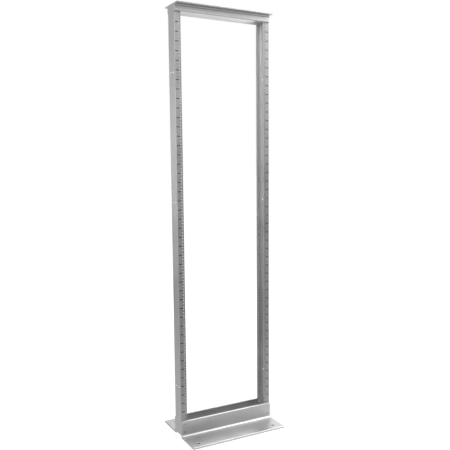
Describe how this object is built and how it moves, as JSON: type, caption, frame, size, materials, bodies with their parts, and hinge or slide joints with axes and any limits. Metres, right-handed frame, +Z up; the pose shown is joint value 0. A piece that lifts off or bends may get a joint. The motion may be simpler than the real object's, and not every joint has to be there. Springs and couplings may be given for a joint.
{
  "type": "two post open frame rack",
  "caption": "Two post open frame equipment rack: channel uprights bolted between floor and top angles, with mounting holes down both faces.",
  "frame": {"origin": "on the floor, in the middle of the rack", "axes": "+Z up along the uprights, X across the rack, front toward -Y"},
  "size_m": [0.515, 0.381, 2.1336],
  "materials": {
    "aluminium": "satin",
    "zinc_plated_steel": "satin"
  },
  "bodies": {
    "root": {"left_upright": "aluminium", "right_upright": "aluminium", "base_angle_front": "aluminium", "base_angle_rear": "aluminium", "top_angle_front": "aluminium", "top_angle_rear": "aluminium", "base_lower_bolt_front_left": "zinc_plated_steel", "base_lower_bolt_front_right": "zinc_plated_steel", "base_lower_bolt_rear_left": "zinc_plated_steel", "base_lower_bolt_rear_right": "zinc_plated_steel", "base_upper_bolt_front_left": "zinc_plated_steel", "base_upper_bolt_front_right": "zinc_plated_steel", "base_upper_bolt_rear_left": "zinc_plated_steel", "base_upper_bolt_rear_right": "zinc_plated_steel", "top_bolt_front_left": "zinc_plated_steel", "top_bolt_front_right": "zinc_plated_steel", "top_bolt_rear_left": "zinc_plated_steel", "top_bolt_rear_right": "zinc_plated_steel"}
  },
  "joints": []
}
